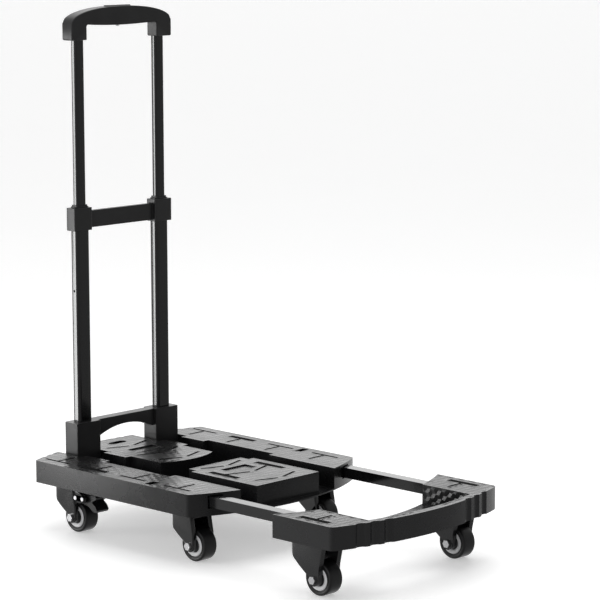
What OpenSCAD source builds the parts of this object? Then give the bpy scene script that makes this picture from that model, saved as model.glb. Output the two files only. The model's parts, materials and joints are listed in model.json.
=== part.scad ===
// Folding luggage cart: a moulded deck on four swivel casters, a sliding front
// bumper frame on two fixed wheels, and a telescopic handle that folds flat.
// Millimetres. +X points forward (bumper end), +Y to the cart's left, +Z up.
// The origin is on the ground, midway along the extended cart.

/* [Deck] */
// Overall width of the deck and of the front frame
deck_w = 400; // [380:5:440]
// Height of the load surface above the ground
deck_top = 124.5; // [122:0.5:130]
// Thickness of the deck moulding
deck_t = 38.5; // [38.5:0.5:40]
// Skin thickness under the load surface
skin = 3.6; // [3:0.2:3.8]
// Depth of the decorative grooves
groove_d = 1.8; // [1:0.1:2]
// Width of the grooves in the deck top
groove_w = 6; // [4:0.5:7]

/* [Front frame] */
// How far the front frame slides in from its extended position
slide_travel = 178; // [120:2:178]
// Height of the rectangular rail tubes
rail_h = 18; // [16:0.5:18]
// Width of the rectangular rail tubes
rail_w = 21; // [18:0.5:22]

/* [Handle] */
// Distance from the cart's centre plane to each pole's axis
pole_y = 94; // [94:0.5:95]
// Lower tube size across the cart
low_w = 30; // [28:0.5:30.5]
// Lower tube size along the cart
low_d = 19; // [18:0.5:19.5]
// Upper tube size across the cart
up_w = 21; // [20:0.5:22]
// Upper tube size along the cart
up_d = 14; // [13:0.5:14.5]
// Tube wall thickness
tube_wall = 1.2; // [1:0.1:1.5]
// Height of the top of the grip above the ground
grip_top = 906.5; // [890:0.5:920]

/* [Wheels] */
// Wheel radius
wheel_r = 28; // [26:0.5:28.5]
// Tyre width
tyre_w = 29; // [24:0.5:29]
// Distance from a caster's kingpin to its axle
trail = 27; // [22:0.5:30]
// Number of sides used for round parts
round_n = 48; // [32:4:64]

/* [Hidden] */
$fn = round_n;
eps = 0.01;

// The deck is drawn from its own rear corner; this puts the result in the frame.
rear_bulge = -42;
front_bulge = 745;
mid_x = (rear_bulge + front_bulge) / 2;

hw = deck_w / 2;
bot = deck_top - deck_t;
floor_z = bot + 2.4;
under_skin = deck_top - skin;

// Plan corner radii: deck front, deck rear, bumper front
deck_fr = 10; deck_rr = 6; ext_fr = 10;

// Plan arcs: [centre x, radius]
deck_front = [24.5, 412];
deck_rear = [rear_bulge + 503, 503];
ext_rear = [631.5 - 412, 412];
ext_front = [front_bulge - 580, 580];
ext_lip = [624 - 500, 500];

// Channels for the poles
nar_in = 75; nar_out = 113;
wid_in = 62.5; wid_out = 125.5;
socket_x = 24.5; park_0 = 96; park_1 = 262;
rear_pad_x = 188; front_pad_x = 243; pad_front_x = 420;

// Rails
rail_y = 156.7;
rail_top = deck_top - 5.5;
rail_rear = 330;
rail_front = 640;
guide_0 = 336; guide_1 = 384;

// Handle
piv = [7, deck_top - 20.5];
pole_x = 5.3;
// corner radii of the lower and upper tubes
low_r = 5.5; up_r = 4.6;
low_in_d = low_d - 2 * tube_wall; low_in_w = low_w - 2 * tube_wall;
up_in_d = up_d - 2 * tube_wall; up_in_w = up_w - 2 * tube_wall;
sleeve_z = 88; sleeve_h = 92;
sleeve_w = 54; sleeve_d = 34;
conn_z = 519.5; conn_h = 40;
arm_z = 850;
low_foot = piv[1] - 14;
up_foot = 395;
fold_drop = 268;

// Casters
// half spacing of the caster screws across the cart
screw_dy = 15;
king_x = [34, 330];
cast_y = 148;
front_x = 657; front_y = 162;
fork_top = 80.4;
fork_r = 27; fork_flat = 25;
ax_r = 4;
// radius where the tyre meets its hub, and the rounding of the tyre's edges
rim_r = 19.5; tyre_er = 3;
ax_half = 29.5;

module in_frame() { translate([-mid_x, 0, 0]) children(); }
module both() { children(); mirror([0, 1, 0]) children(); }

function arc(c, r, a0, a1, n) =
  [for (i = [0:n]) let (a = a0 + (a1 - a0) * i / n) [c[0] + r * cos(a), c[1] + r * sin(a)]];

// A plan outline between two arcs that bulge out, shrunk by t. Its front corners are
// rounded to rf and its rear corners to rb.
function convex_plan(fr, re, w, rf, rb, t) =
  let (yf = w - rf, yb = w - rb,
       xf = fr[0] + sqrt(pow(fr[1] - rf, 2) - yf * yf), af = atan2(yf, xf - fr[0]),
       xr = re[0] - sqrt(pow(re[1] - rb, 2) - yb * yb), ar = atan2(yb, re[0] - xr))
  concat(
    arc([fr[0], 0], fr[1] - t, -af, af, 24),
    arc([xf, yf], rf - t, af, 90, 6),
    arc([xr, yb], rb - t, 90, 180 - ar, 6),
    arc([re[0], 0], re[1] - t, 180 - ar, 180 + ar, 24),
    arc([xr, -yb], rb - t, 180 + ar, 270, 6),
    arc([xf, -yf], rf - t, 270, 360 - af, 6));

// The same for the front frame, whose rear edge curves in to match the deck.
function bumper_plan(fr, re, w, rc, t) =
  let (yc = w - rc,
       xf = fr[0] + sqrt(pow(fr[1] - rc, 2) - yc * yc), af = atan2(yc, xf - fr[0]),
       rr = re[1] + t, wy = w - t, ar = asin(wy / rr))
  concat(
    arc([fr[0], 0], fr[1] - t, -af, af, 24),
    arc([xf, yc], rc - t, af, 90, 6),
    arc([re[0], 0], rr, ar, -ar, 24),
    arc([xf, -yc], rc - t, 270, 360 - af, 6));

module box(x0, x1, y0, y1, z0, z1) {
  translate([x0, y0, z0]) cube([x1 - x0, y1 - y0, z1 - z0]);
}
module rod_y(x, y0, y1, z, r) { translate([x, y0, z]) rotate([-90, 0, 0]) cylinder(r = r, h = y1 - y0); }
module rod_z(x, y, z0, z1, r) { translate([x, y, z0]) cylinder(r = r, h = z1 - z0); }

// A rounded rectangle bar along z, with w across the cart and d along it.
module rbar(x, y, z0, z1, d, w, r) {
  translate([x, y, z0]) linear_extrude(z1 - z0) union() {
    square([d - 2 * r, w], center = true);
    square([d, w - 2 * r], center = true);
    for (sx = [-1, 1], sy = [-1, 1])
      translate([sx * (d / 2 - r), sy * (w / 2 - r)]) circle(r = r, $fn = 24);
  }
}

// ---------------------------------------------------------------- deck
// T shaped groove: bar along x at y, stem towards the middle.
module tee(x0, x1, y, z0) {
  s = y > 0 ? -1 : 1;
  box(x0, x1, y - groove_w / 2, y + groove_w / 2, z0, deck_top + 1);
  xm = (x0 + x1) / 2;
  y2 = y + s * 40;
  box(xm - groove_w / 2, xm + groove_w / 2, min(y, y2), max(y, y2), z0, deck_top + 1);
}
// Pair of slanting grooves that meet towards the front.
module chevron(x) {
  both() translate([x + 7, 6, deck_top - groove_d]) rotate([0, 0, atan2(42, -14)])
    translate([0, -groove_w / 2, 0]) cube([44, groove_w, groove_d + 1]);
}
strip_w = 12;
deck_strips = [[100, 162, 178, 1], [100, 162, -178, 1], [288, 356, 55, 0], [288, 356, -55, 0]];
front_strips = [[622, 686, 180, 1], [622, 686, -180, 1]];
strip_depth = 2.2;

module strip_recess(s) {
  box(s[0] - 0.3, s[1] + 0.3, s[2] - strip_w / 2 - 0.3, s[2] + strip_w / 2 + 0.3,
      deck_top - strip_depth, deck_top + 1);
}
module strip_stem(s) {
  k = s[2] > 0 ? -1 : 1;
  xm = (s[0] + s[1]) / 2;
  y2 = s[2] + k * 40;
  h = groove_w / 2;
  if (s[3] == 1)
    box(xm - h, xm + h, min(s[2], y2), max(s[2], y2), deck_top - groove_d, deck_top + 1);
}
// Toothed rubber strip: a core bar with square teeth along both long edges.
module strip(s) {
  z0 = deck_top - strip_depth; z1 = deck_top - 0.1;
  n = 9; p = (s[1] - s[0]) / n;
  box(s[0], s[1], s[2] - strip_w / 2 + 1.6, s[2] + strip_w / 2 - 1.6, z0, z1);
  for (i = [0:n - 1], k = [-1, 1])
    box(s[0] + p * (i + 0.2), s[0] + p * (i + 0.8),
        s[2] + (k > 0 ? strip_w / 2 - 1.6 : -strip_w / 2),
        s[2] + (k > 0 ? strip_w / 2 : -strip_w / 2 + 1.6), z0, z1);
}

// Scallops down the edges: flute_d deep and flute_r in radius, the first flute_y from the middle
flute_r = 13; flute_d = 4; flute_y = 98; flute_gap = 27;
module flute(x, y, r) { rod_z(x, y, bot - 1, deck_top + 1, r); }
function on_arc(a, y, s) = a[0] + s * sqrt(a[1] * a[1] - y * y);

// Screw bosses inside the wings and the pads
wing_bosses = [[84, 187], [204, 187], [370, 187], [96, 136], [250, 136]];
pad_bosses = [[14, 48], [14, -48], [160, 34], [160, -34], [254, 50], [254, -50], [408, 50], [408, -50]];

module deck_shell() color([0.13, 0.13, 0.14]) in_frame() difference() {
  translate([0, 0, bot]) linear_extrude(deck_t)
    polygon(convex_plan(deck_front, deck_rear, hw, deck_fr, deck_rr, 0));
  // hollow wings and pads, open underneath
  both() intersection() {
    translate([0, 0, bot - 1]) linear_extrude(under_skin - bot + 1)
      polygon(convex_plan(deck_front, deck_rear, hw, deck_fr, deck_rr, 3));
    difference() {
      box(-60, 460, wid_out + 3, hw, bot - 2, deck_top);
      for (p = wing_bosses) rod_z(p[0], p[1], bot + 2.4, deck_top, 5);
    }
  }
  for (p = pad_bosses) rod_z(p[0], p[1], bot, bot + 22, 1.6);
  both() for (p = wing_bosses) rod_z(p[0], p[1], bot, bot + 22, 1.6);
  difference() {
    box(6, rear_pad_x - 18, -wid_in + 3, wid_in - 3, bot - 1, under_skin);
    for (p = pad_bosses) rod_z(p[0], p[1], bot + 2.4, deck_top, 5);
  }
  difference() {
    box(front_pad_x + 3, pad_front_x - 3, -wid_in + 3, wid_in - 3, bot - 1, under_skin);
    for (p = pad_bosses) rod_z(p[0], p[1], bot + 2.4, deck_top, 5);
  }
  both() {
    // pole channels: narrow, with wide stretches for the sleeve blocks
    box(socket_x, 470, nar_in, nar_out, floor_z, deck_top + 1);
    box(park_0, park_1, wid_in, wid_out, floor_z, deck_top + 1);
    // rear socket, open right through
    box(-27, socket_x, wid_in, wid_out, bot - 1, deck_top + 1);
    box(-70, -26, wid_in, wid_out, bot + 12, deck_top + 1);
    // sloped lead-in at the socket's front edge
    translate([0, wid_out, 0]) rotate([90, 0, 0]) linear_extrude(wid_out - wid_in)
      polygon([[socket_x - 1, deck_top - 16.5], [socket_x, deck_top - 16.5],
               [socket_x + 14, deck_top], [socket_x + 14, deck_top + 1], [socket_x - 1, deck_top + 1]]);
    // rail slot in the front edge
    box(360, 430, rail_y - rail_w / 2 - 2.2, rail_y + rail_w / 2 + 2.2,
        rail_top - rail_h - 2.5, rail_top + 1.6);
    // hook pocket in the wing top
    box(270, 285, 170, 192, under_skin - 1, deck_top + 1);
  }
  // gap between the pads, and the step in front of the front pad
  box(pad_front_x, 470, -nar_out, nar_out, floor_z, deck_top + 1);
  difference() {
    box(150, front_pad_x, -wid_in - 1, wid_in + 1, floor_z, deck_top + 1);
    translate([188 - 130, 0, 0]) cylinder(r = 130, h = 200);
  }
  // hang hole in the rear pad
  translate([-9, 0, bot - 1]) linear_extrude(deck_t + 2) union() {
    square([16, 22], center = true);
    for (s = [-1, 1]) translate([0, s * 11]) circle(r = 8);
  }
  // grooves
  for (s = [-1, 1]) {
    tee(305, 367, s * 178, deck_top - groove_d);
    tee(196, 258, s * 178, deck_top - groove_d);
    tee(2, 64, s * 178, deck_top - groove_d);
  }
  for (x = [22, 103, 160, 264, 328, 395]) chevron(x);
  for (s = deck_strips) { strip_recess(s); strip_stem(s); }
  box(286, 316, -30, 30, deck_top - 2.4, deck_top + 1);
  box(50, 76, -30, 30, deck_top - 2.4, deck_top + 1);
  // flutes in the rear edge
  for (y = [-168, -148, -40, -20, 20, 40, 148, 168]) flute(on_arc(deck_rear, y, -1) - 4.5, y, 7);
  // hinge pin bores
  both() rod_y(piv[0], 55, 134, piv[1], 3);
}

// Plates that close the hollow wings; they carry the casters.
module wing_covers() color([0.1, 0.1, 0.11]) in_frame() both() difference() {
  union() {
    intersection() {
      translate([0, 0, bot]) linear_extrude(2.4)
        polygon(convex_plan(deck_front, deck_rear, hw, deck_fr, deck_rr, 3.2));
      box(-60, 460, wid_out + 3.2, hw, bot - 1, bot + 5);
    }
    for (x = king_x) rod_z(x, cast_y, bot + 2, bot + 10, 15);
  }
  for (x = king_x) rod_z(x, cast_y, bot - 1, bot + 11, 6);
  for (x = king_x, dx = [-22, 22], dy = [-screw_dy, screw_dy])
    rod_z(x + dx, cast_y + dy, bot - 1, bot + 3, 2.1);
  for (p = wing_bosses) cover_hole(p);
}
module cover_hole(p) {
  rod_z(p[0], p[1], bot - 1, bot + 3, 1.8);
  rod_z(p[0], p[1], bot - 1, bot + 1.2, 3.4);
}
module pad_covers() color([0.1, 0.1, 0.11]) in_frame() difference() {
  union() {
    box(6.2, rear_pad_x - 18.2, -wid_in + 3.2, wid_in - 3.2, bot, bot + 2.4);
    box(front_pad_x + 3.2, pad_front_x - 3.2, -wid_in + 3.2, wid_in - 3.2, bot, bot + 2.4);
  }
  for (p = pad_bosses) cover_hole(p);
}

module deck_grip_strips() color([0.04, 0.04, 0.04]) in_frame() for (s = deck_strips) strip(s);

// Nylon guides the rails run in, inside each wing.
module rail_guides() color([0.75, 0.75, 0.72]) in_frame() both() difference() {
  box(guide_0, guide_1, rail_y - rail_w / 2 - 5, rail_y + rail_w / 2 + 5, rail_top - rail_h - 5, under_skin);
  box(guide_0 - 1, guide_1 + 1, rail_y - rail_w / 2 - 0.15, rail_y + rail_w / 2 + 0.15,
      rail_top - rail_h - 0.15, rail_top + 0.15);
}

module hinge_pins() color([0.7, 0.7, 0.72]) in_frame() both() rod_y(piv[0], 55.5, 132, piv[1], 3);

// Screws that hold the covers to the deck's bosses.
module cover_screws() color([0.6, 0.6, 0.62]) in_frame() {
  both() for (p = wing_bosses) cover_screw(p);
  for (p = pad_bosses) cover_screw(p);
}
module cover_screw(p) {
  rod_z(p[0], p[1], bot + 0.4, bot + 14, 1.6);
  rod_z(p[0], p[1], bot + 0.1, bot + 1.2, 3.2);
}
// Screws that hold the caster plates to the wing covers.
module caster_screws() color([0.6, 0.6, 0.62]) in_frame()
  both() for (x = king_x, dx = [-22, 22], dy = [-screw_dy, screw_dy]) {
    rod_z(x + dx, cast_y + dy, bot - 2.2, bot + 6, 2);
    rod_z(x + dx, cast_y + dy, bot - 4, bot - 2, 3.4);
    rod_z(x + dx, cast_y + dy, bot + 2.4, bot + 5, 3.4);
  }

module caster_plates() color([0.3, 0.3, 0.31]) in_frame() both() for (x = king_x) difference() {
  union() {
    translate([x, cast_y, bot - 2]) linear_extrude(2) union() {
      square([50, 42], center = true);
      square([42, 50], center = true);
      for (sx = [-1, 1], sy = [-1, 1]) translate([sx * 21, sy * 21]) circle(r = 4);
    }
    rod_z(x, cast_y, fork_top + 0.5, bot - 1.5, 18);
  }
  rod_z(x, cast_y, bot - 12, bot + 2, 6);
  for (dx = [-22, 22], dy = [-screw_dy, screw_dy]) rod_z(x + dx, cast_y + dy, bot - 4, bot + 2, 2.1);
}
module kingpins() color([0.7, 0.7, 0.72]) in_frame() both() for (x = king_x) {
  rod_z(x, cast_y, fork_top - 8, bot + 9, 6);
  rod_z(x, cast_y, fork_top - 10.5, fork_top - 7.4, 10);
}

// ---------------------------------------------------------------- casters
// Trumpet shaped fork: a round top that tapers down to two legs at the axle.
// Side view of a fork: upright and curved at the back, upright in front, round at the axle.
function fork_side(ztop, x0, x1, ax) = concat(
  [[x1, ztop], [x0, ztop]],
  [for (i = [0:8]) let (t = i / 8)
    [x0 + (ax - 10 - x0) * (0.55 * t + 0.45 * t * t), ztop - 10 - (ztop - 14 - wheel_r) * t]],
  [for (a = [195:15:345]) [ax + 10.5 * cos(a), wheel_r + 10.5 * sin(a)]],
  [[max(x1 - 9, ax + 10), wheel_r + 20]]);
module fork_form(kx, ky, ztop, tr, back, ahead) {
  intersection() {
    translate([kx, ky + fork_flat, 0]) rotate([90, 0, 0])
      linear_extrude(2 * fork_flat) polygon(fork_side(ztop, back, ahead, tr));
    union() {
      rod_z(kx + back + fork_r, ky, 0, ztop + 1, fork_r);
      box(kx + back + fork_r, kx + 90, ky - fork_flat, ky + fork_flat, 0, ztop + 1);
    }
  }
}
// Room for the wheel between the fork's legs, and for the brake pedal above it.
module wheel_well(kx, ky, ztop, tr) {
  box(kx + tr - wheel_r - 3, kx + 90, ky - tyre_w / 2 - 1, ky + tyre_w / 2 + 1, 0, ztop - 14);
  box(kx + 6, kx + 90, ky - tyre_w / 2 - 1, ky + tyre_w / 2 + 1, ztop - 24, ztop - 7);
}
module fork(kx, ky, brake) color([0.16, 0.16, 0.17]) in_frame() difference() {
  union() {
    fork_form(kx, ky, fork_top, trail, -fork_r, 31);
    if (brake) for (s = [-1, 1])
      translate([kx, ky + s * (tyre_w / 2 + 4) + 3, 0]) rotate([90, 0, 0])
        linear_extrude(6) polygon([[10, 54], [46, 54], [60, 59], [60, 67], [42, 76], [10, 78]]);
  }
  wheel_well(kx, ky, fork_top, trail);
  rod_z(kx, ky, fork_top - 9, fork_top + 1, 6.05);
  rod_z(kx, ky, fork_top - 22, fork_top - 7, 10.3);
  rod_y(kx + trail, ky - 40, ky + 40, wheel_r, ax_r);
  if (brake) for (x = brake_x) {
    rod_y(kx + x, ky - 40, ky + 40, brake_z, 2.5);
    // pockets in the cheeks for the rivet heads
    for (s = [-1, 1])
      rod_y(kx + x, ky + s * (arm_out + 10) - 10, ky + s * (arm_out + 10) + 10, brake_z, rivet_head_r + 0.2);
  }
}
brake_x = [36, 54];
brake_z = 64;
rivet_head_r = 3.8;

module axle(wx, wy) color([0.72, 0.72, 0.74]) in_frame() {
  rod_y(wx, wy - ax_half + 2, wy + ax_half - 2, wheel_r, ax_r);
  for (s = [-1, 1]) translate([wx, wy + s * (fork_flat + 2.3), wheel_r]) rotate([90, 0, 0])
    cylinder(r = 7, h = 4.4, center = true, $fn = 6);
}
module hub(wx, wy) color([0.66, 0.66, 0.67]) in_frame() translate([wx, wy, wheel_r]) rotate([90, 0, 0])
  difference() {
    union() {
      cylinder(r = rim_r, h = tyre_w - 5, center = true);
      cylinder(r = 7.5, h = tyre_w + 1, center = true);
    }
    for (s = [0, 1]) mirror([0, 0, s]) translate([0, 0, tyre_w / 2 - 5]) difference() {
      cylinder(r = 12.5, h = 20);
      translate([0, 0, -1]) cylinder(r = 7.5, h = 22);
    }
    cylinder(r = ax_r + 0.05, h = 60, center = true);
  }
module tyre(wx, wy) color([0.05, 0.05, 0.05]) in_frame() translate([wx, wy, wheel_r]) rotate([90, 0, 0])
  rotate_extrude() translate([rim_r, 0]) union() {
    translate([0, -tyre_w / 2 + tyre_er]) square([wheel_r - rim_r, tyre_w - 2 * tyre_er]);
    translate([0, -tyre_w / 2]) square([wheel_r - rim_r - tyre_er, tyre_w]);
    for (s = [-1, 1]) translate([wheel_r - rim_r - tyre_er, s * (tyre_w / 2 - tyre_er)])
      circle(r = tyre_er, $fn = 24);
  }
arm_out = tyre_w / 2 + 7;
module brake_rivets(kx, ky) color([0.75, 0.75, 0.77]) in_frame() {
  rod_y(kx + brake_x[0], ky - arm_out, ky + arm_out, brake_z, 2.5);
  for (s = [-1, 1]) {
    rod_y(kx + brake_x[1], ky + s * (arm_out - 3) - 3, ky + s * (arm_out - 3) + 3, brake_z, 2.5);
    for (x = brake_x)
      rod_y(kx + x, ky + s * (arm_out + 1) - 1, ky + s * (arm_out + 1) + 1, brake_z, rivet_head_r);
  }
}
module brake_pedal(kx, ky) color([0.06, 0.06, 0.06]) in_frame() difference() {
  translate([kx, ky + tyre_w / 2 - 0.5, 0]) rotate([90, 0, 0]) linear_extrude(tyre_w - 1)
    polygon([[29, 60], [36, 58.5], [44, 54], [60, 51], [72, 43], [79, 42], [82, 46], [78, 53], [69, 59.5],
             [79, 65], [80.5, 69], [77, 71], [64, 70], [40, 71], [29, 69]]);
  rod_y(kx + brake_x[0], ky - 40, ky + 40, brake_z, 2.5 + 0.05);
}

// Casters by position: rear or mid, left (+y) or right (-y)
module fork_rear_left() fork(king_x[0], cast_y, true);
module fork_rear_right() fork(king_x[0], -cast_y, true);
module fork_mid_left() fork(king_x[1], cast_y, false);
module fork_mid_right() fork(king_x[1], -cast_y, false);
module axle_rear_left() axle(king_x[0] + trail, cast_y);
module axle_rear_right() axle(king_x[0] + trail, -cast_y);
module axle_mid_left() axle(king_x[1] + trail, cast_y);
module axle_mid_right() axle(king_x[1] + trail, -cast_y);
module hub_rear_left() hub(king_x[0] + trail, cast_y);
module hub_rear_right() hub(king_x[0] + trail, -cast_y);
module hub_mid_left() hub(king_x[1] + trail, cast_y);
module hub_mid_right() hub(king_x[1] + trail, -cast_y);
module hub_front_left() hub(front_x, front_y);
module hub_front_right() hub(front_x, -front_y);
module tyre_rear_left() tyre(king_x[0] + trail, cast_y);
module tyre_rear_right() tyre(king_x[0] + trail, -cast_y);
module tyre_mid_left() tyre(king_x[1] + trail, cast_y);
module tyre_mid_right() tyre(king_x[1] + trail, -cast_y);
module tyre_front_left() tyre(front_x, front_y);
module tyre_front_right() tyre(front_x, -front_y);
module brake_rivets_left() brake_rivets(king_x[0], cast_y);
module brake_rivets_right() brake_rivets(king_x[0], -cast_y);
module brake_pedal_left() brake_pedal(king_x[0], cast_y);
module brake_pedal_right() brake_pedal(king_x[0], -cast_y);

// ---------------------------------------------------------------- front frame
frame_in = 124;
hand_x = [652, 706];
module front_frame() color([0.13, 0.13, 0.14]) in_frame() difference() {
  union() {
    difference() {
      translate([0, 0, bot]) linear_extrude(deck_t)
        polygon(bumper_plan(ext_front, ext_rear, hw, ext_fr, 0));
      // open middle between the wings, behind the front bar
      intersection() {
        box(560, 800, -frame_in, frame_in, bot + 5.5, deck_top + 1);
        translate([ext_front[0], 0, 0]) cylinder(r = ext_front[1] - 14, h = 200, $fn = 160);
      }
      // rear lip of the tray
      intersection() {
        box(560, 700, -frame_in, frame_in, bot - 1, deck_top);
        translate([ext_lip[0], 0, 0]) cylinder(r = ext_lip[1], h = 200, $fn = 160);
      }
      box(hand_x[0], hand_x[1], -76, 76, bot - 1, bot + 6);
      // hollow wings, open underneath
      both() intersection() {
        translate([0, 0, bot - 1]) linear_extrude(under_skin - bot + 1)
          polygon(bumper_plan(ext_front, ext_rear, hw, ext_fr, 3));
        box(560, 760, frame_in + 3, hw, bot - 2, deck_top);
        translate([ext_front[0], 0, 0]) cylinder(r = ext_front[1] - flute_d - 3.5, h = 200, $fn = 160);
      }
    }
    both() fork_form(front_x - 12, front_y, bot + 4, 12, -49, 33);
    // pockets that hold the rail ends
    both() box(612, rail_front + 2, rail_y - rail_w / 2 - 3, rail_y + rail_w / 2 + 3,
               rail_top - rail_h - 3, deck_top - 1);
  }
  both() {
    wheel_well(front_x - trail, front_y, bot, trail);
    rod_y(front_x, front_y - 40, front_y + 40, wheel_r, ax_r);
    box(560, rail_front, rail_y - rail_w / 2, rail_y + rail_w / 2, rail_top - rail_h, rail_top);
    rod_z(626, rail_y, deck_top - 40, rail_top, 2.05);
  }
  for (s = front_strips) { strip_recess(s); strip_stem(s); }
  // flutes near both ends of the front bar
  for (s = [-1, 1], k = [0:2])
    flute(on_arc(ext_front, flute_y + flute_gap * k, 1) + flute_r - flute_d,
          s * (flute_y + flute_gap * k), flute_r);
}
module front_rails() color([0.08, 0.08, 0.08]) in_frame() both() difference() {
  box(rail_rear, rail_front, rail_y - rail_w / 2, rail_y + rail_w / 2, rail_top - rail_h, rail_top);
  box(rail_rear - 1, rail_front - 2, rail_y - rail_w / 2 + 1.5, rail_y + rail_w / 2 - 1.5,
      rail_top - rail_h + 1.5, rail_top - 1.5);
  rod_z(626, rail_y, rail_top - rail_h - 1, rail_top - rail_h + 2, 2);
}
// Plugs in the rear ends of the rails; their flanges stop against the guides.
module rail_stops() color([0.75, 0.75, 0.72]) in_frame() both() {
  box(rail_rear - 4, rail_rear, rail_y - rail_w / 2 - 3, rail_y + rail_w / 2 + 3,
      rail_top - rail_h - 2, rail_top + 1);
  box(rail_rear, rail_rear + 20, rail_y - rail_w / 2 + 1.5, rail_y + rail_w / 2 - 1.5,
      rail_top - rail_h + 1.5, rail_top - 1.5);
}
module front_grip_strips() color([0.04, 0.04, 0.04]) in_frame() for (s = front_strips) strip(s);
module front_screws() color([0.6, 0.6, 0.62]) in_frame() both() {
  rod_z(626, rail_y, rail_top - rail_h - 4.6, rail_top - rail_h + 4, 2);
  rod_z(626, rail_y, rail_top - rail_h - 6, rail_top - rail_h - 3, 3.5);
}
module front_axles() { axle(front_x, front_y); axle(front_x, -front_y); }

// ---------------------------------------------------------------- handle
pin_z = up_foot + 18;
module lower_tubes() color([0.07, 0.07, 0.07]) in_frame() both() difference() {
  rbar(pole_x, pole_y, low_foot, conn_z + conn_h, low_d, low_w, low_r);
  rbar(pole_x, pole_y, low_foot - 1, conn_z + conn_h + 1, low_in_d, low_in_w, low_r - tube_wall);
  rod_y(piv[0], 60, 130, piv[1], 3.06);
  rod_y(pole_x, pole_y, 130, pin_z, 2.3);
  rod_y(pole_x, pole_y, 130, pin_z - fold_drop, 2.3);
}
module tube_feet() color([0.1, 0.1, 0.1]) in_frame() both() difference() {
  rbar(pole_x, pole_y, low_foot, piv[1] + 14, low_in_d, low_in_w, low_r - tube_wall);
  rod_y(piv[0], 60, 130, piv[1], 3.06);
}
collar_w = 40; collar_d = 24.5;
module mid_connector() color([0.15, 0.15, 0.16]) in_frame() difference() {
  union() {
    both() rbar(pole_x, pole_y + 1, conn_z, conn_z + conn_h, collar_d, collar_w, 3);
    box(pole_x - 4.5, pole_x + 4.5, -nar_in - 2, nar_in + 2, conn_z + 3, conn_z + 33);
  }
  both() rbar(pole_x, pole_y, conn_z - 1, conn_z + conn_h + 1, low_d, low_w, low_r);
}
// Bushes in the tops of the lower tubes, with a tapered collar round the upper tube.
module guide_bushes() color([0.09, 0.09, 0.09]) in_frame() both() difference() {
  union() {
    rbar(pole_x, pole_y, conn_z - 20, conn_z + conn_h, low_in_d, low_in_w, low_r - tube_wall);
    rbar(pole_x, pole_y, conn_z + conn_h, conn_z + conn_h + 2, low_d, low_w, low_r);
    rbar(pole_x, pole_y, conn_z + conn_h + 2, conn_z + conn_h + 5, low_d - 3, low_w - 5, 3);
  }
  rbar(pole_x, pole_y, conn_z - 21, conn_z + conn_h + 6, up_d + 0.3, up_w + 0.3, up_r + 0.15);
}
module lock_sleeve() color([0.15, 0.15, 0.16]) in_frame() difference() {
  union() {
    both() rbar(pole_x, pole_y, sleeve_z, sleeve_z + sleeve_h, sleeve_d, sleeve_w, 2);
    // arch between the blocks
    translate([pole_x, 0, sleeve_z + sleeve_h]) rotate([90, 0, 90]) translate([0, 0, -10])
      linear_extrude(20) difference() {
        translate([-pole_y + 20, -30]) square([2 * pole_y - 40, 30]);
        intersection() {
          translate([0, -16 - 150]) circle(r = 150, $fn = 120);
          translate([-pole_y + sleeve_w / 2, -60]) square([2 * pole_y - sleeve_w, 60]);
        }
      }
  }
  both() {
    rbar(pole_x, pole_y, sleeve_z - 1, sleeve_z + sleeve_h + 1, low_d + 0.6, low_w + 0.6, low_r + 0.3);
    // slots that straddle the hinge pin
    box(piv[0] - 3.6, piv[0] + 3.6, 60, 130, sleeve_z - 1, piv[1]);
    rod_y(piv[0], 60, 130, piv[1], 3.6);
  }
}
module upper_tubes() color([0.07, 0.07, 0.07]) in_frame() both() difference() {
  rbar(pole_x, pole_y, up_foot, arm_z + 14, up_d, up_w, up_r);
  rbar(pole_x, pole_y, up_foot - 1, arm_z + 15, up_in_d, up_in_w, up_r - tube_wall);
  rod_y(pole_x, pole_y, 130, pin_z, 2.2);
  rod_y(pole_x, pole_y, 130, arm_z + 8, 1.8);
}
grip_hy = 117;
yoke_z = arm_z + 28;
module handle_grip() color([0.15, 0.15, 0.16]) in_frame() difference() {
  translate([pole_x - 13, 0, 0]) rotate([90, 0, 90]) linear_extrude(26) difference() {
    union() {
      intersection() {
        translate([0, grip_top - 560]) circle(r = 560, $fn = 160);
        translate([-grip_hy, arm_z]) square([2 * grip_hy, 80]);
        union() {
          translate([-grip_hy, arm_z]) square([2 * grip_hy, 30]);
          translate([-grip_hy + 26, arm_z]) square([2 * grip_hy - 52, 80]);
          for (s = [-1, 1]) translate([s * (grip_hy - 26), arm_z + 26]) circle(r = 26, $fn = 64);
        }
      }
    }
    difference() {
      translate([-grip_hy + 37, arm_z - 1]) square([2 * grip_hy - 74, 25]);
      intersection() {
        translate([0, arm_z + 17 + 260]) circle(r = 260, $fn = 120);
        translate([-80, arm_z]) square([160, 60]);
      }
    }
  }
  both() {
    rbar(pole_x, pole_y, arm_z - 1, arm_z + 14, up_d, up_w, up_r);
    rbar(pole_x, pole_y, arm_z + 13, arm_z + 28, 8, 14, 1);
    rod_y(pole_x, pole_y, 130, arm_z + 8, 1.8);
    rod_y(pole_x, grip_hy - 3, 130, arm_z + 8, 3.6);
  }
  // hollow for the release yoke and the button
  box(pole_x - 4.5, pole_x + 4.5, -pole_y - 7, pole_y + 7, yoke_z - 0.4, yoke_z + 7);
  rod_z(pole_x, 0, yoke_z - 7, yoke_z, 4.2);
  rbar(pole_x, 0, yoke_z + 6, grip_top + 5, 13.4, 56.4, 4.2);
}
module end_bushes() color([0.75, 0.75, 0.72]) in_frame() both() difference() {
  union() {
    rbar(pole_x, pole_y, up_foot, up_foot + 32, up_in_d, up_in_w, up_r - tube_wall);
    rbar(pole_x, pole_y, up_foot - 6, up_foot, low_in_d - 0.4, low_in_w - 0.4, low_r - tube_wall - 0.2);
  }
  rod_y(pole_x, pole_y + 4, 130, pin_z, 2.2);
  box(pole_x - 3.2, pole_x + 3.2, pole_y - 6.2, pole_y + 5.4, pin_z - 4.2, up_foot + 40);
}
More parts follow.
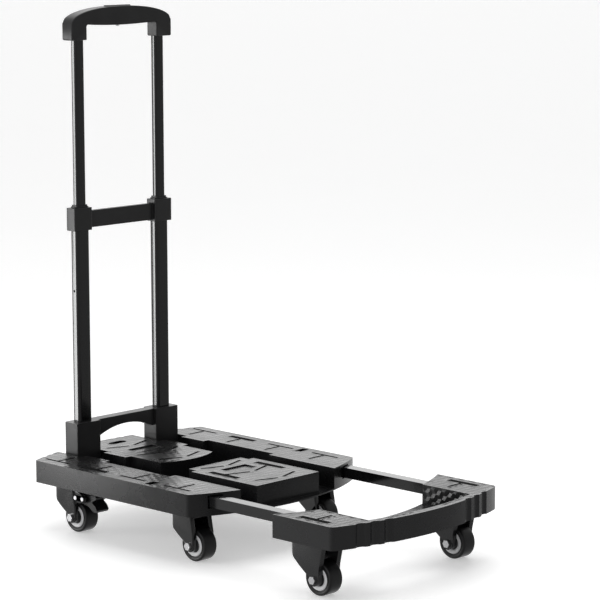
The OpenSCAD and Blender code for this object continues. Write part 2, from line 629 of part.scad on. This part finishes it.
module grip_screws() color([0.6, 0.6, 0.62]) in_frame() both() {
  rod_y(pole_x, pole_y + up_w / 2 - tube_wall - 2, grip_hy - 3, arm_z + 8, 1.8);
  rod_y(pole_x, grip_hy - 3, grip_hy - 0.8, arm_z + 8, 3.4);
}
module button_spring() color([0.7, 0.7, 0.72]) in_frame() for (k = [0:5])
  translate([pole_x, 0, yoke_z - 6.4 + 1.15 * k])
    rotate_extrude() translate([3, 0]) circle(r = 0.4, $fn = 16);
module release_button() color([0.2, 0.2, 0.21]) in_frame()
  rbar(pole_x, 0, yoke_z + 6.4, grip_top + 1.3, 13, 56, 4);
// Yoke under the button, with the two rods that reach down inside the upper tubes.
// Each rod ends in a wedge whose sloping face pushes a lock pin out as it rises.
wedge_k = 0.8;
module push_rods() color([0.5, 0.5, 0.52]) in_frame() {
  box(pole_x - 4, pole_x + 4, -pole_y - 5, pole_y + 5, yoke_z, yoke_z + 3);
  box(pole_x - 4, pole_x + 4, -20, 20, yoke_z + 3, yoke_z + 6.4);
  both() {
    rod_z(pole_x, pole_y, pin_z + 5, yoke_z, 2.5);
    translate([pole_x - 2.8, 0, 0]) rotate([90, 0, 90]) linear_extrude(5.6)
      polygon([[pole_y - 5.5, pin_z - 3.4], [pole_y + 1.9 + wedge_k * 3.4, pin_z - 3.4],
               [pole_y + 1.9 - wedge_k * 6, pin_z + 6], [pole_y - 5.5, pin_z + 6]]);
  }
}
module lock_pin(s) color([0.75, 0.75, 0.77]) in_frame() mirror([0, s > 0 ? 0 : 1, 0]) difference() {
  rod_y(pole_x, pole_y - 1, pole_y + low_w / 2 - tube_wall - 1.5, pin_z, 2.15);
  translate([pole_x - 5, 0, 0]) rotate([90, 0, 90]) linear_extrude(10)
    polygon([[pole_y - 5, pin_z - 5], [pole_y + 2 + wedge_k * 5, pin_z - 5],
             [pole_y + 2 - wedge_k * 5, pin_z + 5], [pole_y - 5, pin_z + 5]]);
}
module lock_pin_left() lock_pin(1);
module lock_pin_right() lock_pin(-1);

deck_shell();
wing_covers();
pad_covers();
deck_grip_strips();
rail_guides();
hinge_pins();
cover_screws();
caster_screws();
caster_plates();
kingpins();
fork_rear_left();
fork_rear_right();
fork_mid_left();
fork_mid_right();
axle_rear_left();
axle_rear_right();
axle_mid_left();
axle_mid_right();
hub_rear_left();
hub_rear_right();
hub_mid_left();
hub_mid_right();
tyre_rear_left();
tyre_rear_right();
tyre_mid_left();
tyre_mid_right();
brake_rivets_left();
brake_rivets_right();
brake_pedal_left();
brake_pedal_right();
front_frame();
front_rails();
rail_stops();
front_grip_strips();
front_screws();
front_axles();
hub_front_left();
hub_front_right();
tyre_front_left();
tyre_front_right();
lower_tubes();
tube_feet();
mid_connector();
guide_bushes();
lock_sleeve();
upper_tubes();
handle_grip();
end_bushes();
grip_screws();
button_spring();
release_button();
push_rods();
lock_pin_left();
lock_pin_right();
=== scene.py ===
"""Looks for the folding luggage cart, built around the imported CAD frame."""
import json
import math

import bmesh
import bpy
from mathutils import Matrix, Vector


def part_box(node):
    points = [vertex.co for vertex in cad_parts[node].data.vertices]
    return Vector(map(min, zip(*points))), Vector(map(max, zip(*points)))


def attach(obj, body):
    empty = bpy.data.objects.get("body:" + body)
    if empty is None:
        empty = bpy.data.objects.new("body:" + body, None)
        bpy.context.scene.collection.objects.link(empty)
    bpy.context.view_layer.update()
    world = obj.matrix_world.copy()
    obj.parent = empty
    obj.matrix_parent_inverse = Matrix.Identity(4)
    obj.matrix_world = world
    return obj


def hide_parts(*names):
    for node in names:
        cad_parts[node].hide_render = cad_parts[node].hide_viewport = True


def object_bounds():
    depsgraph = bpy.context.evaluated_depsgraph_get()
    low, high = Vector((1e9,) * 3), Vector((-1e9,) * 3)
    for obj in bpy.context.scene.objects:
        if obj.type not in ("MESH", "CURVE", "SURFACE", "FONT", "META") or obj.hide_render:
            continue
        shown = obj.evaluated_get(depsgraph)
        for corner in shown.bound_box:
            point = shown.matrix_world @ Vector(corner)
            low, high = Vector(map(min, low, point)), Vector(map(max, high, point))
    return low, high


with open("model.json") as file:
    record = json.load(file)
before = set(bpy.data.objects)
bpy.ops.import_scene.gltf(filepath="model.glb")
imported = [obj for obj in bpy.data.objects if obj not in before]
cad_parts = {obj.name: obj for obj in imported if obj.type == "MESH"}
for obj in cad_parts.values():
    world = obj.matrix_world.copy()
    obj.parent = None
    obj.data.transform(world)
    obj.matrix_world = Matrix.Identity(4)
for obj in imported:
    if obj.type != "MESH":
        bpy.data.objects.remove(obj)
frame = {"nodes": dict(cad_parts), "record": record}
cad_lo, cad_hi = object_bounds()
NODES = frame["nodes"]
MM = 0.001
WHEELS = [f"{place}_{side}" for place in ("rear", "mid", "front") for side in ("left", "right")]
JOIN = 1e-5                         # corners nearer than this are one corner
FLAT = math.radians(0.6)            # triangles that bend less than this are one face


# ------------------------------------------------------------------ materials
def node_tree(name):
    """An empty material with its output, shader and object coordinates."""
    m = bpy.data.materials.new(name)
    m.use_nodes = True
    t = m.node_tree
    t.nodes.clear()
    out = t.nodes.new("ShaderNodeOutputMaterial")
    bsdf = t.nodes.new("ShaderNodeBsdfPrincipled")
    t.links.new(bsdf.outputs[0], out.inputs[0])
    coord = t.nodes.new("ShaderNodeTexCoord")
    return m, t, bsdf, coord.outputs["Object"]


def noise(t, coord, scale, detail=3.0, stretch=None):
    """A noise pattern, 0 to 1, drawn out along an axis when stretch is given."""
    if stretch:
        mp = t.nodes.new("ShaderNodeMapping")
        mp.inputs["Scale"].default_value = stretch
        t.links.new(coord, mp.inputs["Vector"])
        coord = mp.outputs[0]
    n = t.nodes.new("ShaderNodeTexNoise")
    n.inputs["Scale"].default_value = scale
    n.inputs["Detail"].default_value = detail
    t.links.new(coord, n.inputs["Vector"])
    return n.outputs["Fac"]


def ramp(t, fac, lo, hi, a, b):
    """Maps fac from lo..hi to a..b."""
    r = t.nodes.new("ShaderNodeMapRange")
    for key, v in (("From Min", lo), ("From Max", hi), ("To Min", a), ("To Max", b)):
        r.inputs[key].default_value = v
    t.links.new(fac, r.inputs["Value"])
    return r.outputs[0]


def mix(t, fac, a, b):
    """A colour between a and b, each a colour or another node's output."""
    m = t.nodes.new("ShaderNodeMix")
    m.data_type = "RGBA"
    t.links.new(fac, m.inputs["Factor"])
    for sock, v in ((m.inputs["A"], a), (m.inputs["B"], b)):
        if isinstance(v, tuple):
            sock.default_value = v
        else:
            t.links.new(v, sock)
    return m.outputs["Result"]


def shades(c, k):
    """The colour c made k times as bright, with full alpha."""
    return tuple(min(1.0, x * k) for x in c) + (1.0,)


def surface(name, colour, rough, grain=900.0, bump=0.15, metal=0.0, spec=0.5, vary=0.25,
            wear=0.0, coat=0.0, stretch=None):
    """Colour that varies slightly, broken roughness, fine grain and paler worn edges."""
    m, t, bsdf, co = node_tree(name)
    cloud = noise(t, co, 18.0, 4.0, stretch)
    fine = noise(t, co, grain, 2.0, stretch)
    col = mix(t, ramp(t, cloud, 0.3, 0.7, 0, 1), shades(colour, 1 - vary), shades(colour, 1 + vary))
    if wear:
        geo = t.nodes.new("ShaderNodeNewGeometry")
        edge = ramp(t, geo.outputs["Pointiness"], 0.53, 0.62, 0, wear)
        col = mix(t, edge, col, shades(colour, 3.2))
    t.links.new(col, bsdf.inputs["Base Color"])
    t.links.new(ramp(t, cloud, 0.25, 0.75, rough - 0.05, rough + 0.05), bsdf.inputs["Roughness"])
    bsdf.inputs["Metallic"].default_value = metal
    bsdf.inputs["Specular IOR Level"].default_value = spec
    bsdf.inputs["Coat Weight"].default_value = coat
    bsdf.inputs["Coat Roughness"].default_value = 0.12
    b = t.nodes.new("ShaderNodeBump")
    b.inputs["Strength"].default_value = bump
    b.inputs["Distance"].default_value = 0.0002
    t.links.new(fine, b.inputs["Height"])
    t.links.new(b.outputs[0], bsdf.inputs["Normal"])
    return m


MATS = {
    "black_moulding": surface("black_moulding", (0.006, 0.006, 0.0064), 0.27, 1400, 0.03, vary=0.12,
                              wear=0.4),
    # painted shade: the grooves' floors and walls are darker than the moulding, and matt with little specular
    "groove_painted_shade": surface("groove_painted_shade", (0.002, 0.002, 0.002), 0.9, 1400, 0.2, spec=0.03),
    "fork_black": surface("fork_black", (0.004, 0.004, 0.0043), 0.16, 1300, 0.03, vary=0.1, coat=0.4),
    "black_rubber": surface("black_rubber", (0.003, 0.003, 0.003), 0.9, 1600, 0.5, spec=0.06),
    "tyre_rubber": surface("tyre_rubber", (0.004, 0.004, 0.0045), 0.42, 1200, 0.15),
    "grey_plastic": surface("grey_plastic", (0.84, 0.84, 0.85), 0.42, 900, 0.06, vary=0.03),
    "hub_core": surface("hub_core", (0.010, 0.010, 0.011), 0.4, 900, 0.12),
    "white_nylon": surface("white_nylon", (0.55, 0.55, 0.51), 0.45, 1100, 0.15, vary=0.06),
    "zinc_steel": surface("zinc_steel", (0.62, 0.62, 0.63), 0.30, 700, 0.2, metal=1.0, vary=0.12),
    "black_steel": surface("black_steel", (0.012, 0.012, 0.013), 0.3, 1000, 0.15, coat=0.4),
    "black_tube": surface("black_tube", (0.004, 0.004, 0.0045), 0.13, 1800, 0.04, coat=0.3,
                          stretch=(1, 1, 0.05)),
    "black_plastic": surface("black_plastic", (0.005, 0.005, 0.0055), 0.36, 1300, 0.12, wear=0.4),
    "dark_plastic": surface("dark_plastic", (0.010, 0.010, 0.0105), 0.36, 1500, 0.14, wear=0.4),
}
SLOT = {p["node"]: p["material_slot"] for p in frame["record"]["subparts"]}


def paint(obj, key):
    obj.data.materials.clear()
    obj.data.materials.append(MATS[key])


# -------------------------------------------------------------- mesh helpers
def crisp_group(angle=30.0):
    """Geometry nodes that join split corners and shade smooth except at real edges."""
    g = bpy.data.node_groups.new("crisp", "GeometryNodeTree")
    g.interface.new_socket("Geometry", in_out="INPUT", socket_type="NodeSocketGeometry")
    g.interface.new_socket("Geometry", in_out="OUTPUT", socket_type="NodeSocketGeometry")
    new, link = g.nodes.new, g.links.new
    join = new("GeometryNodeMergeByDistance")
    join.inputs["Distance"].default_value = JOIN
    drop = new("GeometryNodeRemoveAttribute")
    drop.inputs["Name"].default_value = "custom_normal"
    faces, edges = new("GeometryNodeSetShadeSmooth"), new("GeometryNodeSetShadeSmooth")
    edges.domain = "EDGE"
    edges.inputs["Shade Smooth"].default_value = False
    wide = new("FunctionNodeCompare")
    wide.inputs["B"].default_value = math.radians(angle)
    link(new("GeometryNodeInputMeshEdgeAngle").outputs["Unsigned Angle"], wide.inputs["A"])
    link(wide.outputs[0], edges.inputs["Selection"])
    chain = [new("NodeGroupInput"), drop, join, faces, edges, new("NodeGroupOutput")]
    for a, b in zip(chain, chain[1:]):
        link(a.outputs[0], b.inputs[0])
    return g


CRISP = crisp_group()


def rounded(obj, width, segments, limit):
    """Rounds the edges that are sharper than limit degrees; width is in millimetres."""
    b = obj.modifiers.new("round", "BEVEL")
    b.width, b.segments = width * MM, segments
    b.limit_method, b.angle_limit = "ANGLE", math.radians(limit)
    b.use_clamp_overlap = True
    b.harden_normals = True


def soften(obj, width, segments=2, limit=32.0):
    """Joins split corners, merges flat triangles, rounds the edges and smooths the shading."""
    obj.modifiers.new("join", "NODES").node_group = CRISP
    d = obj.modifiers.new("flat", "DECIMATE")
    d.decimate_type = "DISSOLVE"
    d.angle_limit = FLAT
    rounded(obj, width, segments, limit)


def add_mesh(name, bm, body, slot, key=None, stands_for=()):
    me = bpy.data.meshes.new(name)
    bm.to_mesh(me)
    bm.free()
    o = bpy.data.objects.new(name, me)
    bpy.context.scene.collection.objects.link(o)
    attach(o, body)
    if stands_for:
        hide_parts(*stands_for)
    paint(o, key or slot)
    return o


def lathe(profile, centre, segments=96):
    """A closed turned ring about +Y; profile is (radius, y) in metres."""
    bm = bmesh.new()
    rings = []
    for k in range(segments):
        a = 2 * math.pi * k / segments
        rings.append([bm.verts.new((centre.x + r * math.sin(a), centre.y + y,
                                    centre.z + r * math.cos(a))) for r, y in profile])
    n = len(profile)
    for k in range(segments):
        p, q = rings[k], rings[(k + 1) % segments]
        for i in range(n):
            f = bm.faces.new((p[i], p[(i + 1) % n], q[(i + 1) % n], q[i]))
            f.smooth = True
    bmesh.ops.recalc_face_normals(bm, faces=bm.faces)
    return bm


# -------------------------------------------------- moulded relief on the deck
CELL = 14.0 * MM / math.sqrt(3)     # side of one rhombus of the cube pattern
TOP_LIFT = 0.24 * MM                # peaks and valleys either side of the middle level
WALL_LIFT = 0.60 * MM               # the same on upright walls


def cube_height(u, v, lift):
    """Height of the continuous cube relief at a point of its plane: peaks, middles and valleys
    take turns on a triangular lattice, and each rhombus between them is flat."""
    row = v / (CELL * math.sqrt(3) / 2)
    col = u / CELL - row / 2
    i, j = math.floor(col), math.floor(row)
    fi, fj = col - i, row - j
    level = lambda a, b: (0.0, 1.0, -1.0)[(a - b) % 3]
    if fi + fj <= 1:
        h = level(i, j) + fi * (level(i + 1, j) - level(i, j)) + fj * (level(i, j + 1) - level(i, j))
    else:
        far = level(i + 1, j + 1)
        h = far + (1 - fi) * (level(i, j + 1) - far) + (1 - fj) * (level(i + 1, j) - far)
    return h * lift


def emboss(bm, faces, origin, udir, vdir, rim, lift):
    """Cuts the cube pattern into flat faces and sinks it, leaving a plain rim at the outline."""
    inset = bmesh.ops.inset_region(bm, faces=faces, thickness=rim, use_even_offset=True,
                                   use_boundary=True)
    rim_faces = set(inset["faces"])
    work = [f for f in faces if f.is_valid and f not in rim_faces]
    normal = udir.cross(vdir).normalized()
    edge = {v for f in work for v in f.verts if any(g in rim_faces for g in v.link_faces)}
    us = [(v.co - origin).dot(udir) for f in work for v in f.verts]
    vs = [(v.co - origin).dot(vdir) for f in work for v in f.verts]
    row = CELL * math.sqrt(3) / 2
    tag = bm.faces.layers.int["relief"]
    for f in work:
        f[tag] = 1
    for turn in (0, 60, 120):
        a = math.radians(turn)
        along = udir * math.cos(a) + vdir * math.sin(a)
        across = normal.cross(along).normalized()
        corners = [udir * u + vdir * v for u in (min(us), max(us)) for v in (min(vs), max(vs))]
        span = [c.dot(across) for c in corners]
        for k in range(math.ceil(min(span) / row), math.floor(max(span) / row) + 1):
            fs = [f for f in bm.faces if f[tag] == 1]
            es = {e for f in fs for e in f.edges}
            vset = {v for f in fs for v in f.verts}
            bmesh.ops.bisect_plane(bm, geom=list(vset) + list(es) + fs, dist=1e-7,
                                   plane_co=origin + across * (k * row), plane_no=across)
    fs = [f for f in bm.faces if f[tag] == 1]
    for v in {v for f in fs for v in f.verts}:
        p = v.co - origin
        if all(g[tag] == 1 for g in v.link_faces):
            v.co += normal * (cube_height(p.dot(udir), p.dot(vdir), lift) - lift)
    for f in fs:
        f.smooth = False


def flat_faces(bm, normal, offset, tol=2e-5, keep=lambda c: True):
    """Faces that lie in the plane with this normal and offset."""
    return [f for f in bm.faces if f.normal.dot(normal) > 0.999
            and abs(f.verts[0].co.dot(normal) - offset) < tol
            and all(abs(v.co.dot(normal) - offset) < tol for v in f.verts)
            and keep(f.calc_center_median())]


def copy_of(node):
    """The CAD node's mesh in a new bmesh, joined, with flat triangles merged."""
    bm = bmesh.new()
    bm.from_mesh(NODES[node].data)
    bmesh.ops.remove_doubles(bm, verts=bm.verts, dist=JOIN)
    bmesh.ops.dissolve_limit(bm, angle_limit=FLAT, verts=bm.verts, edges=bm.edges)
    bm.faces.layers.int.new("relief")
    for f in bm.faces:
        f.smooth = True
    return bm


RIM = 1.6 * MM                      # plain border around a patterned panel
UP, RIGHT, AHEAD = Vector((0, 0, 1)), Vector((0, 1, 0)), Vector((1, 0, 0))


def sharpen(bm, angle=30.0):
    """Marks real edges sharp so that curved walls shade smoothly between them."""
    for e in bm.edges:
        e.smooth = len(e.link_faces) == 2 and e.calc_face_angle(0.0) < math.radians(angle)


def mark_grooves(bm, shallow=0.9 * MM, deep=2.6 * MM):
    """Gives the floors and walls of the shallow grooves in the top a matt finish and a darker colour that is
    painted shade.
    """
    top = max(v.co.z for v in bm.verts)
    for f in bm.faces:
        depth = top - f.calc_center_median().z
        if f.normal.z > 0.99 and shallow < depth < deep:
            f.material_index = 1
            for e in f.edges:
                for g in e.link_faces:
                    if abs(g.normal.z) < 0.1 and top - g.calc_center_median().z < deep:
                        g.material_index = 1


def weigh_edges(bm, angle=40.0, fine=0.2):
    """Outer edges get the full rounding, and the edges of grooves a fine one."""
    weight = bm.edges.layers.float.new("bevel_weight_edge")
    for e in bm.edges:
        if len(e.link_faces) == 2 and e.calc_face_angle(0.0) > math.radians(angle):
            in_groove = any(f.material_index == 1 for f in e.link_faces)
            e[weight] = fine if in_groove else 1.0


def relief_body(name, node, body, panels):
    """A copy of a moulding with the cube pattern sunk into its flat panels."""
    bm = copy_of(node)
    sharpen(bm)
    for normal, offset, udir, vdir, keep in panels:
        faces = flat_faces(bm, normal, offset, keep=keep)
        lift = TOP_LIFT if normal.z > 0.5 else WALL_LIFT
        if faces:
            emboss(bm, faces, normal * offset, udir, vdir, RIM, lift)
    mark_grooves(bm)
    weigh_edges(bm)
    o = add_mesh(name, bm, body, "black_moulding", stands_for=(node,))
    # the second slot carries the painted shade in the grooves
    o.data.materials.append(MATS["groove_painted_shade"])
    rounded(o, 1.1, 3, 40.0)
    o.modifiers["round"].limit_method = "WEIGHT"


def build_deck():
    """The deck, patterned on top."""
    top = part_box("deck_shell")[1].z
    relief_body("deck_body", "deck_shell", "deck", [(UP, top, AHEAD, RIGHT, lambda c: True)])


def build_front():
    """The sliding frame, patterned on top, on the floor of its middle and on the walls beside it."""
    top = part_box("front_frame")[1].z
    pocket = 124 * MM               # half the width of the open middle
    floor = top - 33 * MM
    panels = [(UP, top, AHEAD, RIGHT, lambda c: True),
              (UP, floor, AHEAD, RIGHT, lambda c: abs(c.y) < pocket)]
    for side in (1, -1):
        panels.append((RIGHT * -side, -pocket, AHEAD * side, UP, lambda c: True))
    relief_body("front_body", "front_frame", "bumper", panels)


# ----------------------------------------------------------------------- wheels
def build_wheel(name):
    body = f"wheel_{name}"
    lo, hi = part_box(f"tyre_{name}")
    c, r, w = (lo + hi) / 2, (hi.z - lo.z) / 2, (hi.y - lo.y) / 2
    inner = 19.5 * MM
    shoulder = 3.2 * MM
    arc = [(r - shoulder + shoulder * math.sin(a), w - shoulder + shoulder * math.cos(a))
           for a in [math.radians(d) for d in range(0, 91, 15)]]
    # two fine moulded rings on each side wall
    wall = [(inner, w - 1.6 * MM), (inner + 0.7 * MM, w - 0.5 * MM), (inner + 1.6 * MM, w - 0.1 * MM),
            (inner + 2.4 * MM, w - 0.1 * MM), (inner + 2.7 * MM, w - 0.5 * MM),
            (inner + 3.0 * MM, w - 0.1 * MM)]
    half = wall + arc + [(r, 4 * MM)]
    prof = half + [(x, -y) for x, y in reversed(half)]
    add_mesh(f"tyre_{name}_round", lathe(prof, c), body, "tyre_rubber", stands_for=(f"tyre_{name}",))
    ring = [(inner, w - 1.6 * MM), (inner - 0.4 * MM, w - 0.7 * MM), (inner - 1.0 * MM, w - 0.4 * MM),
            (inner - 6.2 * MM, w - 0.9 * MM), (inner - 6.8 * MM, w - 1.5 * MM), (inner - 7 * MM, w - 6 * MM)]
    prof = ring + [(x, -y) for x, y in reversed(ring)]
    add_mesh(f"hub_{name}_ring", lathe(prof, c), body, "grey_plastic", stands_for=(f"hub_{name}",))
    cap = [(inner - 7 * MM, w - 5.2 * MM), (inner - 7.3 * MM, w - 2.2 * MM), (inner - 8.2 * MM, w - 1.4 * MM),
           (9.2 * MM, w - 1.2 * MM), (8.4 * MM, w - 0.4 * MM), (6.8 * MM, w + 0.3 * MM),
           (4.05 * MM, w + 0.4 * MM)]
    prof = cap + [(x, -y) for x, y in reversed(cap)]
    add_mesh(f"hub_{name}_core", lathe(prof, c, 64), body, "grey_plastic", "hub_core")


# ------------------------------------------------------------------------- grip
def prism(bm, centre, half_x, half_y, z0, z1, r, steps=6):
    """A rounded rectangular prism along z, added to bm."""
    ring = []
    for sx, sy, a0 in ((1, 1, 0), (-1, 1, 90), (-1, -1, 180), (1, -1, 270)):
        for k in range(steps + 1):
            a = math.radians(a0 + 90 * k / steps)
            ring.append((centre[0] + sx * (half_x - r) + r * math.cos(a),
                         centre[1] + sy * (half_y - r) + r * math.sin(a)))
    low = [bm.verts.new((x, y, z0)) for x, y in ring]
    high = [bm.verts.new((x, y, z1)) for x, y in ring]
    bm.faces.new(list(reversed(low)))
    bm.faces.new(high)
    for k in range(len(ring)):
        n = (k + 1) % len(ring)
        bm.faces.new((low[k], low[n], high[n], high[k]))


def fillet(a, corner, b, r, steps=6):
    """Points in the YZ plane that round the corner between a and b."""
    ua, ub = (a - corner).normalized(), (b - corner).normalized()
    half = ua.angle(ub) / 2
    d = r / math.tan(half)
    mid = corner + (ua + ub).normalized() * (r / math.sin(half))
    p, q = corner + ua * d - mid, corner + ub * d - mid
    a0 = math.atan2(p.z, p.y)
    turn = (math.atan2(q.z, q.y) - a0 + math.pi) % (2 * math.pi) - math.pi
    angles = [a0 + turn * k / steps for k in range(steps + 1)]
    return [mid + Vector((0, r * math.cos(t), r * math.sin(t))) for t in angles]


def build_grip():
    lo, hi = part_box("handle_grip")
    cx, w = (lo.x + hi.x) / 2, hi.y
    arm, top = lo.z, hi.z
    inner, roof, shoulder = w - 35 * MM, arm + 26.5 * MM, arm + 29 * MM
    point = lambda y, z: Vector((0, y, z))
    half = []                                  # from the crown, out and down, back under to the middle
    for k in range(41):
        t = 1 - math.cos(math.radians(90 * k / 40))
        y_in = w * (1 - t)
        f = (1 - (1 - y_in / w) ** 2.2) ** 0.48 if y_in > 0 else 0.0
        half.append(point(w - y_in, shoulder + (top - shoulder) * f))
    half += fillet(point(w, shoulder), point(w, arm), point(inner, arm), 3 * MM)
    half += fillet(point(w, arm), point(inner, arm), point(inner, roof), 2 * MM)
    half += fillet(point(inner, arm), point(inner, roof), point(0, roof), 4 * MM)
    for k in range(1, 13):
        y = (inner - 5 * MM) * (1 - k / 12)
        half.append(point(y, roof - 3 * MM * (1 - (y / inner) ** 2)))
    outline = half + [point(-p.y, p.z) for p in reversed(half[1:-1])]
    bm = bmesh.new()
    front = [bm.verts.new((hi.x, p.y, p.z)) for p in outline]
    back = [bm.verts.new((lo.x, p.y, p.z)) for p in outline]
    bm.faces.new(front)
    bm.faces.new(list(reversed(back)))
    for k in range(len(outline)):
        n = (k + 1) % len(outline)
        bm.faces.new((front[n], front[k], back[k], back[n]))
    bmesh.ops.recalc_face_normals(bm, faces=bm.faces)
    for f in bm.faces:
        f.smooth = True
    sharpen(bm, 50.0)
    o = add_mesh("grip_body", bm, "handle_upper", "dark_plastic", stands_for=("handle_grip",))
    rounded(o, 6.5, 6, 60.0)

    # the button's slot, the yoke's hollow and the tube sockets
    cut = bmesh.new()
    b_lo, b_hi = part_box("release_button")
    y_lo, y_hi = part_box("push_rods")
    t_lo, t_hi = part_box("upper_tubes")
    gap = 0.2 * MM
    prism(cut, (cx, 0), (b_hi.x - b_lo.x) / 2 + gap, b_hi.y + gap, b_lo.z - gap, top + 0.02, 4.2 * MM)
    prism(cut, (cx, 0), 4.5 * MM, y_hi.y + 2 * MM, y_hi.z - 6.8 * MM, y_hi.z + 3.6 * MM, 1 * MM)
    tube_y = 94 * MM
    for side in (1, -1):
        prism(cut, (cx, side * tube_y), 7 * MM, t_hi.y - tube_y, arm - 0.02, t_hi.z, 4.6 * MM)
        prism(cut, (cx, side * tube_y), 4 * MM, 7 * MM, arm, y_hi.z - 6 * MM, 1 * MM)
    bmesh.ops.recalc_face_normals(cut, faces=cut.faces)
    me = bpy.data.meshes.new("cutter")
    cut.to_mesh(me)
    cut.free()
    cutter = bpy.data.objects.new("cutter", me)
    bpy.context.scene.collection.objects.link(cutter)
    m = o.modifiers.new("carve", "BOOLEAN")
    m.operation, m.solver, m.object, m.use_self = "DIFFERENCE", "EXACT", cutter, True
    bpy.context.view_layer.update()
    solid = bpy.data.meshes.new_from_object(o.evaluated_get(bpy.context.evaluated_depsgraph_get()))
    o.modifiers.clear()
    o.data = solid
    bpy.data.objects.remove(cutter)


# ------------------------------------------------------------------------ stage
def area(name, loc, target, size, power, size_y=None):
    """A soft light at loc that faces target."""
    lamp = bpy.data.lights.new(name, "AREA")
    lamp.energy, lamp.size = power, size
    if size_y:
        lamp.shape, lamp.size_y = "RECTANGLE", size_y
    o = bpy.data.objects.new(name, lamp)
    bpy.context.scene.collection.objects.link(o)
    o.location = loc
    o.rotation_mode = "QUATERNION"
    o.rotation_quaternion = (Vector(target) - Vector(loc)).to_track_quat("-Z", "Y")


FLOOR_SIZE = 300
FLOOR_DROP = 0.0003         # keeps the floor just clear of the tyres
FLOOR_GLOW = 0.4            # only the camera sees it, so it whitens the floor and lights nothing


def build_floor():
    """A pale, plain floor."""
    bm = bmesh.new()
    bmesh.ops.create_grid(bm, x_segments=2, y_segments=2, size=FLOOR_SIZE)
    me = bpy.data.meshes.new("floor")
    bm.to_mesh(me)
    bm.free()
    floor = bpy.data.objects.new("floor", me)
    bpy.context.scene.collection.objects.link(floor)
    floor.location.z = cad_lo.z - FLOOR_DROP
    m, t, bsdf, co = node_tree("floor")
    t.links.new(mix(t, noise(t, co, 2.0), (0.86, 0.86, 0.86, 1), (0.89, 0.89, 0.89, 1)),
                bsdf.inputs["Base Color"])
    bsdf.inputs["Roughness"].default_value = 0.7
    bsdf.inputs["Emission Color"].default_value = (1, 1, 1, 1)
    seen = t.nodes.new("ShaderNodeLightPath").outputs["Is Camera Ray"]
    t.links.new(ramp(t, seen, 0, 1, 0, FLOOR_GLOW), bsdf.inputs["Emission Strength"])
    floor.visible_glossy = False
    floor.data.materials.append(m)


AMBIENT = 0.30              # even light from everywhere
# brighter sides of the surroundings: direction, where it starts, and how much it adds
GLOWS = (((-0.70, 0.71, 0.1), 0.35, 1.25), ((-0.70, -0.71, 0.0), 0.3, 0.3))
GLOW_FULL = 0.95


def build_surroundings():
    """White surroundings, brighter towards the sides in GLOWS."""
    world = bpy.data.worlds.new("studio")
    world.use_nodes = True
    bpy.context.scene.world = world
    t = world.node_tree
    bg = t.nodes["Background"]
    bg.inputs["Color"].default_value = (1.0, 1.0, 1.0, 1)
    sky = t.nodes.new("ShaderNodeTexCoord").outputs["Generated"]
    strength = AMBIENT
    for towards, start, gain in GLOWS:
        way = t.nodes.new("ShaderNodeVectorMath")
        way.operation = "DOT_PRODUCT"
        way.inputs[1].default_value = Vector(towards)
        t.links.new(sky, way.inputs[0])
        add = t.nodes.new("ShaderNodeMath")
        add.operation = "ADD"
        t.links.new(ramp(t, way.outputs["Value"], start, GLOW_FULL, 0, gain), add.inputs[0])
        if isinstance(strength, float):
            add.inputs[1].default_value = strength
        else:
            t.links.new(strength, add.inputs[1])
        strength = add.outputs[0]
    t.links.new(strength, bg.inputs["Strength"])


# the camera's place, the way it looks and its up direction, all in the frame
CAMERA_AT = (3.12108, -3.12754, 1.11667)
CAMERA_LOOK = Vector((-0.68508, 0.71145, -0.15651))
CAMERA_UP = Vector((-0.10729, 0.11397, 0.98767))
LENS, SENSOR = 158.98, 36
SHIFT = (-0.00896, 0.00549)


def build_camera():
    """The camera, turned by its own axes."""
    cam = bpy.data.objects.new("camera", bpy.data.cameras.new("camera"))
    bpy.context.scene.collection.objects.link(cam)
    cam.data.lens, cam.data.sensor_width = LENS, SENSOR
    cam.data.shift_x, cam.data.shift_y = SHIFT
    back = -CAMERA_LOOK.normalized()
    right = CAMERA_UP.cross(back).normalized()
    turn = Matrix((right, back.cross(right), back)).transposed().to_4x4()
    cam.matrix_world = Matrix.Translation(CAMERA_AT) @ turn
    bpy.context.scene.camera = cam
    bpy.context.scene.view_settings.view_transform = "Standard"


def build_stage():
    """The floor, the light and the camera."""
    build_floor()
    build_surroundings()
    area("top", (0.0, 0.0, 2.8), (0, 0, 0.2), 2.2, 30)
    area("side", (-1.70, -1.44, 0.30), (-0.34, 0, 0.62), 0.35, 12, 1.1)
    area("fill", (1.2, -3.4, 1.6), (0, 0, 0.3), 1.6, 16)
    build_camera()


# ---------------------------------------------------------------- the other pieces
# how far the edges of the pieces kept from the CAD are rounded, in millimetres
PLAIN_ROUND = 0.4
ROUND = {"lock_sleeve": 1.2, "mid_connector": 1.2, "release_button": 1.0,
         "deck_grip_strips": 0.35, "front_grip_strips": 0.35, "lower_tubes": 0.25, "upper_tubes": 0.25,
         "front_rails": 0.6}
FORK_ROUND = 2.6


def dress(node, obj):
    """Paints a piece kept from the CAD and rounds its edges; the forks are glossy and rounder."""
    if node.startswith("fork_"):
        paint(obj, "fork_black")
        soften(obj, FORK_ROUND, 4)
        obj.modifiers["round"].use_clamp_overlap = False
    else:
        paint(obj, SLOT[node])
        soften(obj, ROUND.get(node, PLAIN_ROUND))


build_deck()
build_front()
build_grip()
for wheel in WHEELS:
    build_wheel(wheel)
for node, obj in NODES.items():
    if not obj.hide_render:
        dress(node, obj)
build_stage()
